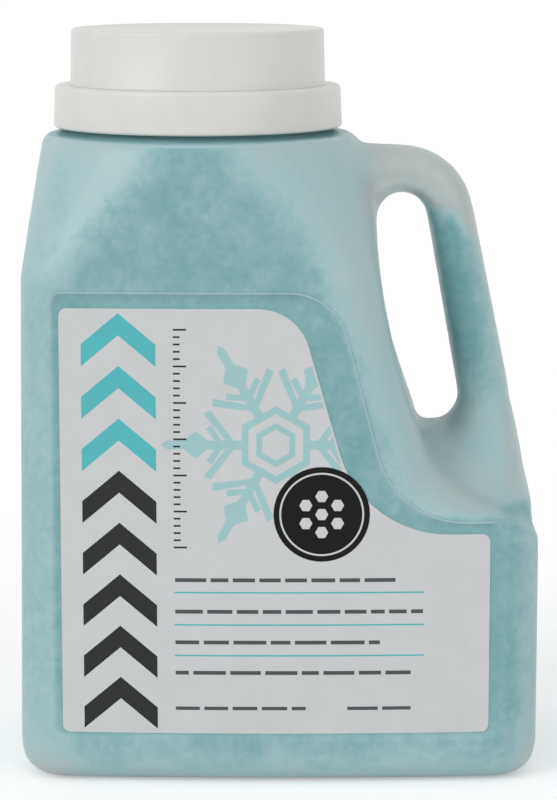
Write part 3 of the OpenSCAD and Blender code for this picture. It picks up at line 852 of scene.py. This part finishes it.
def layOnPanel(bm, lift, thickness):
    # cuts the flat shapes into strips, bends them to the panel and gives them their thickness
    low = min(v.co.x for v in bm.verts)
    high = max(v.co.x for v in bm.verts)
    for i in range(math.floor(low / label["strip"]), math.ceil(high / label["strip"])):
        geom = bm.verts[:] + bm.edges[:] + bm.faces[:]
        bmesh.ops.bisect_plane(bm, geom=geom, plane_co=(i * label["strip"], 0, 0), plane_no=(1, 0, 0))
    bm.normal_update()
    bmesh.ops.reverse_faces(bm, faces=[f for f in bm.faces if f.normal.y > 0])
    made = bmesh.ops.extrude_face_region(bm, geom=bm.faces[:])
    back = {v for v in made["geom"] if isinstance(v, bmesh.types.BMVert)}
    sunk = jug["panelDeep"] - lift
    for v in bm.verts:
        v.co.y = sunk - frontDepth(v.co.x, v.co.z) + (0 if v in back else thickness)
    bm.normal_update()
    bmesh.ops.recalc_face_normals(bm, faces=bm.faces)


# the lip's place outside the panel, the part of the outline it follows, and its height
bead = {"from": 0.2, "to": 0.8, "above": 100, "left": -85, "right": 84, "high": 0.00018, "root": 0.0006,
        "paleness": 0.68}


def offsetOutline(outline, distance):
    # the outline in millimetres, moved outwards
    moved = []
    for before, point, after in zip(outline[-1:] + outline[:-1], outline, outline[1:] + outline[:1]):
        along = (point - before).normalized() + (after - point).normalized()
        moved.append(point * 1000 + Vector((along.y, -along.x)).normalized() * distance)
    return moved


def makeBead(name, side):
    # the raised lip along a sunk panel's upper edges, painted pale as a painted highlight along its crest
    bm = bmesh.new()
    inner, outer = (offsetOutline(panelOutline, bead[end]) for end in ("from", "to"))
    for i in range(len(inner)):
        quad = [inner[i - 1], inner[i], outer[i], outer[i - 1]]
        if min(p.y for p in quad) > bead["above"] and bead["left"] < max(p.x for p in quad) < bead["right"]:
            addShape(bm, quad)
    bmesh.ops.remove_doubles(bm, verts=bm.verts, dist=1e-6)
    layOnPanel(bm, jug["panelDeep"] + bead["high"], bead["high"] + bead["root"])
    if side > 0:
        bmesh.ops.scale(bm, vec=(1, -1, 1), verts=bm.verts)
        bmesh.ops.reverse_faces(bm, faces=bm.faces)
    # painted highlight: the whole lip gets one pale tone, for the light its crest catches
    layer = bm.verts.layers.float.new("paleness")
    for v in bm.verts:
        v[layer] = bead["paleness"]
    finishPiece(name, bm, "jug", [hdpe], smooth=60)


def makeLabel():
    bm = bmesh.new()
    addShape(bm, [(p.x * 1000, p.y * 1000) for p in labelOutline])
    layOnPanel(bm, label["gap"] + label["film"], label["film"])
    finishPiece("frontLabel", bm, "jug", [film], ["front_label"], smooth=30)


def makeInk(name, bm, ink, layer=1):
    # layer 1 lies on the film, layer 2 on other ink
    lift = label["gap"] + label["film"] + label["ink"] * (1 + label["layer"] * (layer - 1))
    layOnPanel(bm, lift, label["ink"])
    finishPiece(name, bm, "jug", [inks[ink]], smooth=30)


def bar(bm, x0, x1, z0, z1):
    addShape(bm, [(x0, z0), (x1, z0), (x1, z1), (x0, z1)])


def ringPoints(x, z, r, steps):
    return [(x + r * math.cos(math.tau * i / steps), z + r * math.sin(math.tau * i / steps)) for i in range(steps)]


def disc(bm, x, z, r, steps=64, inner=None):
    ring = ringPoints(x, z, r, steps)
    if inner is None:
        addShape(bm, ring)
        return
    core = ringPoints(x, z, inner, steps)
    for i in range(steps):
        addShape(bm, [ring[i - 1], ring[i], core[i], core[i - 1]])


chevrons = {"left": -75, "right": -46.6, "top": 184.4, "pitch": 20.2, "rise": 12, "stroke": 8.5,
            "aqua": 3, "count": 8}


def makeChevrons():
    sheets = {"aqua": bmesh.new(), "charcoal": bmesh.new()}
    c = chevrons
    middle = (c["left"] + c["right"]) / 2
    for i in range(c["count"]):
        bm = sheets["aqua" if i < c["aqua"] else "charcoal"]
        tip = c["top"] - i * c["pitch"]
        low = tip - c["rise"]
        for side, order in ((c["left"], 1), (c["right"], -1)):
            half = [(side, low), (side, low - c["stroke"]), (middle, tip - c["stroke"]), (middle, tip)]
            addShape(bm, half[::order])
    for ink, bm in sheets.items():
        makeInk("chevrons_" + ink, bm, ink)


scale = {"x": -40, "top": 178.5, "pitch": 2.8, "count": 31, "short": 2.6, "long": 5, "stroke": 0.7}


def makeScale():
    bm = bmesh.new()
    for i in range(scale["count"]):
        z = scale["top"] - i * scale["pitch"]
        width = scale["long"] if i % 5 == 0 else scale["short"]
        bar(bm, scale["x"], scale["x"] + width, z - scale["stroke"], z)
    makeInk("tickScale", bm, "charcoal")


flake = {
    "x": -1, "z": 134, "arm": 44, "tip": 41.5, "root": 13, "stroke": 3.4,
    "lozenge": (26, 30.5, 35), "lozengeHalf": 5.4,
    # each twig leaves the arm between two places and ends between two corners
    "twigs": [((16, 19), (27.5, 12), (24.8, 13.3)), ((20.6, 23.2), (26.6, 6.3), (24.4, 7.6))],
    "rings": [((10.4, 6.0), (13, 7.5)), ((5.2, 3.0), (7.4, 4.27))],
    # the label's slanted edge cuts it off
    "cutAt": (6.5, 186.1), "cutLean": 16.1,
}


def makeFlake():
    # a six-armed crystal of plain bars, with hexagons in the middle and a lozenge on each arm
    f = flake
    bm = bmesh.new()
    w = f["stroke"] / 2
    near, middle, far = f["lozenge"]
    for k in range(6):
        c, s = math.cos(math.radians(60 * k)), math.sin(math.radians(60 * k))

        def put(points):
            addShape(bm, [(f["x"] + x * c - z * s, f["z"] + x * s + z * c) for x, z in points])
        put([(f["root"], -w), (near, -w), (near, w), (f["root"], w)])
        put([(near, -w), (middle, -f["lozengeHalf"]), (far, -w), (far, w), (middle, f["lozengeHalf"]), (near, w)])
        put([(far, -w), (f["tip"], -w), (f["arm"], 0), (f["tip"], w), (far, w)])
        for side in (1, -1):
            for (start, end), (outX, outZ), (inX, inZ) in f["twigs"]:
                twig = [(start, side * w), (end, side * w), (outX, side * outZ), (inX, side * inZ)]
                put(twig[::side])
        for (inX, inZ), (outX, outZ) in f["rings"]:
            put([(inX, -inZ), (outX, -outZ), (outX, outZ), (inX, inZ)])
    lean = math.radians(f["cutLean"])
    edge = Vector((f["cutAt"][0] / 1000, 0, f["cutAt"][1] / 1000))
    cutOff(bm, edge, Vector((math.cos(lean), 0, math.sin(lean))))
    makeInk("snowCrystal", bm, "paleAqua")


badge = {"x": 16.5, "z": 107.1, "r": 18.4, "line": (2.2, 2.9), "cell": 2.5, "pitch": 7}


def makeBadge():
    b = badge
    bm = bmesh.new()
    disc(bm, b["x"], b["z"], b["r"])
    makeInk("roundBadge", bm, "black", layer=2)
    bm = bmesh.new()
    disc(bm, b["x"], b["z"], b["r"] - b["line"][0], inner=b["r"] - b["line"][1])
    disc(bm, b["x"], b["z"], b["cell"], steps=6)
    for k in range(6):
        turn = math.radians(60 * k + 30)
        disc(bm, b["x"] + b["pitch"] * math.cos(turn), b["z"] + b["pitch"] * math.sin(turn), b["cell"], steps=6)
    makeInk("badgePattern", bm, "white", layer=3)


rules = {"left": -40, "right": 56, "z": [76.5, 63.8, 51.7], "stroke": 0.6}


def makeRules():
    bm = bmesh.new()
    for z in rules["z"]:
        bar(bm, rules["left"], rules["right"], z - rules["stroke"] / 2, z + rules["stroke"] / 2)
    makeInk("aquaRules", bm, "aqua")


lines = {
    "z": [81.4, 69.0, 56.9, 44.9], "left": -39.6, "right": [45, 55.5, 39, 55.5], "height": 1.5,
    "small": [(-39.6, 10.5, 30.8), (26.5, 53, 30.8)], "smallHeight": 1.35,
    "dash": (5, 13), "space": 1.7, "least": 4,
}


def makeLines():
    # grey bars in place of lines of reading matter
    bm = bmesh.new()
    rows = [(lines["left"], right, z, lines["height"]) for z, right in zip(lines["z"], lines["right"])]
    rows += [(left, right, z, lines["smallHeight"]) for left, right, z in lines["small"]]
    for left, right, z, height in rows:
        x = left
        while x < right - lines["least"]:
            end = min(right, x + rng.uniform(*lines["dash"]))
            bar(bm, x, end, z - height / 2, z + height / 2)
            x = end + lines["space"]
    makeInk("greyLines", bm, "grey")


makeBead("frontPanelBead", -1)
makeBead("backPanelBead", 1)
makeLabel()
makeChevrons()
makeScale()
makeFlake()
makeBadge()
makeRules()
makeLines()
print("label and print made")


# ---- studio ----

studio = {
    "floor": 30, "floorColour": "#F2F2F2", "floorRoughness": 0.9, "glow": 0.30, "ambient": 0.56,
    # name, the side it comes from, strength, softness in degrees
    "suns": [("keySun", (-0.8, -0.6, 0.5), 0.30, 40), ("fillSun", (0.6, -0.8, 0.3), 0.17, 60),
             ("topSun", (0, -0.2, 1), 0.04, 60)],
}


def addSun(name, towards, strength, softness):
    # soft light from one side, the same all over the floor
    sun = bpy.data.lights.new(name, "SUN")
    sun.energy = strength * math.pi
    sun.angle = math.radians(softness)
    holder = bpy.data.objects.new(name, sun)
    holder.rotation_euler = (-Vector(towards)).to_track_quat("-Z", "Y").to_euler()
    bpy.context.scene.collection.objects.link(holder)


def seenStraight(material):
    # 1 for rays that show the background: from the camera, in gloss or through a clear part
    path = addNode(material, "ShaderNodeLightPath").outputs
    first = computed(material, "ADD", path["Is Camera Ray"], path["Is Glossy Ray"])
    return computed(material, "ADD", first, path["Is Transmission Ray"], use_clamp=True)


def makeStudio():
    bm = bmesh.new()
    bmesh.ops.create_grid(bm, x_segments=1, y_segments=1, size=studio["floor"])
    mesh = bpy.data.meshes.new("studioFloor")
    bm.to_mesh(mesh)
    bm.free()
    floor = bpy.data.objects.new("studioFloor", mesh)
    bpy.context.scene.collection.objects.link(floor)
    material, shader = newMaterial("paperFloor")
    feed(material, shader, {
        "Base Color": linearColour(studio["floorColour"]), "Roughness": studio["floorRoughness"],
        "Emission Color": (1, 1, 1, 1),
        "Emission Strength": computed(material, "MULTIPLY", seenStraight(material), studio["glow"])})
    mesh.materials.append(material)

    world = bpy.data.worlds.new("studioWorld")
    bpy.context.scene.world = world
    world.use_nodes = True
    feed(world, world.node_tree.nodes["Background"], {
        "Color": (1, 1, 1, 1), "Strength": ranged(world, seenStraight(world), (0, 1), (studio["ambient"], 1.0))})
    for sun in studio["suns"]:
        addSun(*sun)


makeStudio()
bpy.context.scene.view_settings.view_transform = "Standard"
print("studio made")
